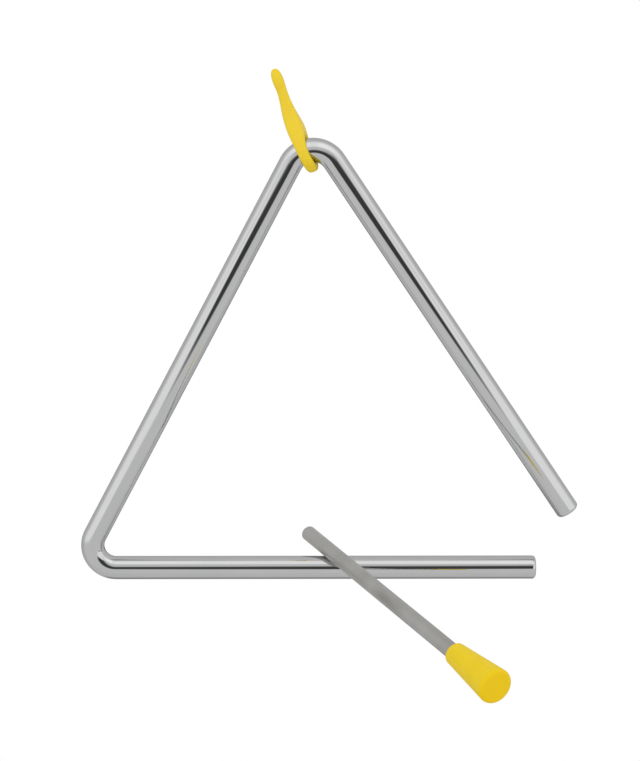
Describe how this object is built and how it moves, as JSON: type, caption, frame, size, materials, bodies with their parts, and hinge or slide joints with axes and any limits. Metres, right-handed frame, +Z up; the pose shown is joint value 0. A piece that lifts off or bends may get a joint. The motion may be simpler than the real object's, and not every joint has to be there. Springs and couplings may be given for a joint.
{
  "type": "triangle instrument",
  "caption": "Open steel triangle hung in a moulded teardrop holder, with a straight beater whose tapered grip swings it against the lower leg.",
  "frame": {"origin": "neck of the holder, below its knob, where it is pinched or hung", "axes": "+Z up, +X along the striking leg from the closed heel to the open corner, +Y away from the player's beater, square to the triangle"},
  "size_m": [0.1709, 0.1081, 0.1869],
  "materials": {
    "chromed_bar": "polished",
    "plated_shaft": "satin",
    "yellow_plastic": "satin"
  },
  "bodies": {
    "holder": {"holder": "yellow_plastic"},
    "triangle": {"triangle_rod": "chromed_bar"},
    "beater": {"beater_shaft": "plated_shaft", "beater_grip": "yellow_plastic"}
  },
  "joints": [
    {"name": "triangle_swing", "type": "hinge", "parent": "holder", "child": "triangle", "pos_m": [0.00749, 0, -0.02015], "axis": [0.9323, -0.1045, 0.3463], "continuous": true},
    {"name": "beater_strike", "type": "hinge", "parent": "triangle", "child": "beater", "pos_m": [0.06033, -0.08256, -0.1722], "axis": [0.8803, 0.4667, 0.0851], "range_deg": [0, 40]}
  ]
}
